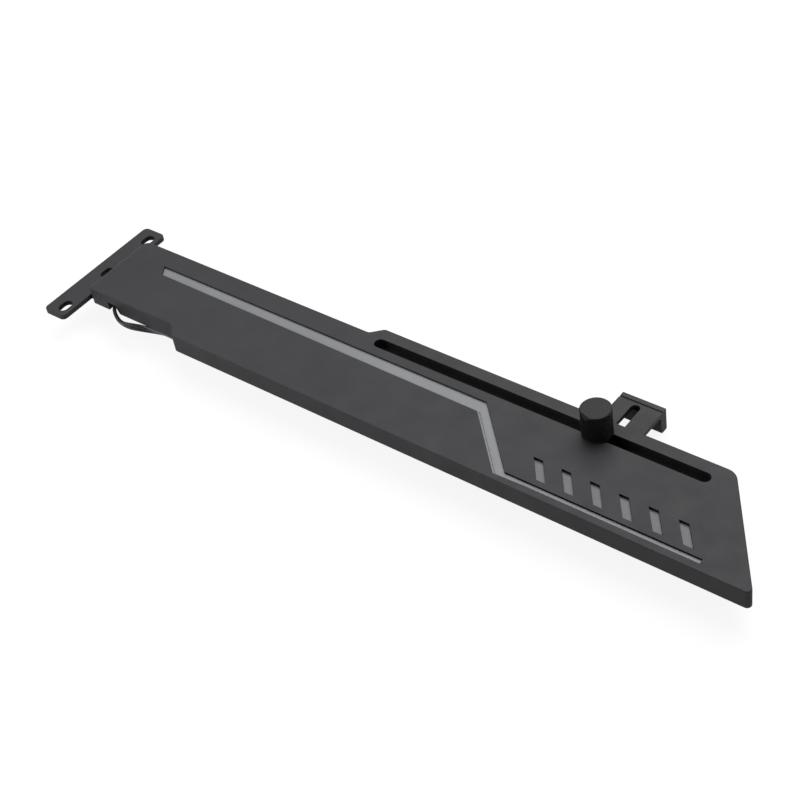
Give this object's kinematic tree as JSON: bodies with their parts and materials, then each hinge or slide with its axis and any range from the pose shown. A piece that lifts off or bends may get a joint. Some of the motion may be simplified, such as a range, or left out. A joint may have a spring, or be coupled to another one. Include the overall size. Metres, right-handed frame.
{
  "type": "graphics card support bracket",
  "caption": "Slim matte black bracket with a light strip and lit windows; it screws to a case's expansion slots and holds a graphics card up on a sliding, clamped hook.",
  "frame": {"origin": "the middle case slot's centre, on the underside of the steel plate", "axes": "+X along the body, away from the case slots; +Y across it, towards the arm; +Z out of the lit face"},
  "size_m": [0.266, 0.0629, 0.0245],
  "materials": {
    "black_steel": "fine matte powder coat",
    "black_cover": "fine matte texture",
    "diffuser": "frosted smoke grey",
    "white_tray": "smooth",
    "board": "solder mask",
    "tape": "smooth",
    "led": "clear",
    "black_cable": "smooth",
    "black_nylon": "smooth",
    "brass_contact": "bright",
    "black_knob": "black anodised, diamond knurled",
    "zinc_steel": "satin"
  },
  "bodies": {
    "body": {"base_plate": "black_steel", "top_cover": "black_cover", "light_guide": "diffuser", "window_lens": "diffuser", "reflector_tray_upper": "white_tray", "reflector_tray_lower": "white_tray", "board_tape_upper": "tape", "board_tape_lower": "tape", "led_board_upper": "board", "led_board_lower": "board", "leds_upper": "led", "leds_lower": "led", "board_link": "black_cable", "cover_screws": "zinc_steel", "strain_relief": "black_nylon", "inner_wires": "black_cable", "lead": "black_cable", "lead_hank": "black_cable", "hank_tie": "black_nylon", "lead_tail": "black_cable", "lead_plug": "black_nylon", "plug_contacts": "brass_contact"},
    "stud": {"clamp_stud": "zinc_steel"},
    "nut": {"thumb_knob": "black_knob"},
    "guide": {"clamp_washer": "zinc_steel"},
    "arm": {"support_arm": "black_steel"}
  },
  "joints": [
    {"name": "stud_slide", "type": "slide", "parent": "body", "child": "stud", "axis": [1, 0, 0], "range_m": [-0.0813, 0.0354]},
    {"name": "nut_turn", "type": "hinge", "parent": "stud", "child": "nut", "pos_m": [0.1932, 0.01365, 0.0064], "axis": [0, 0, 1], "continuous": true},
    {"name": "arm_swivel", "type": "hinge", "parent": "stud", "child": "guide", "pos_m": [0.1932, 0.01365, 0], "axis": [0, 0, 1], "continuous": true},
    {"name": "arm_slide", "type": "slide", "parent": "guide", "child": "arm", "axis": [0, 1, 0], "range_m": [-0.0165, 0.004]}
  ]
}
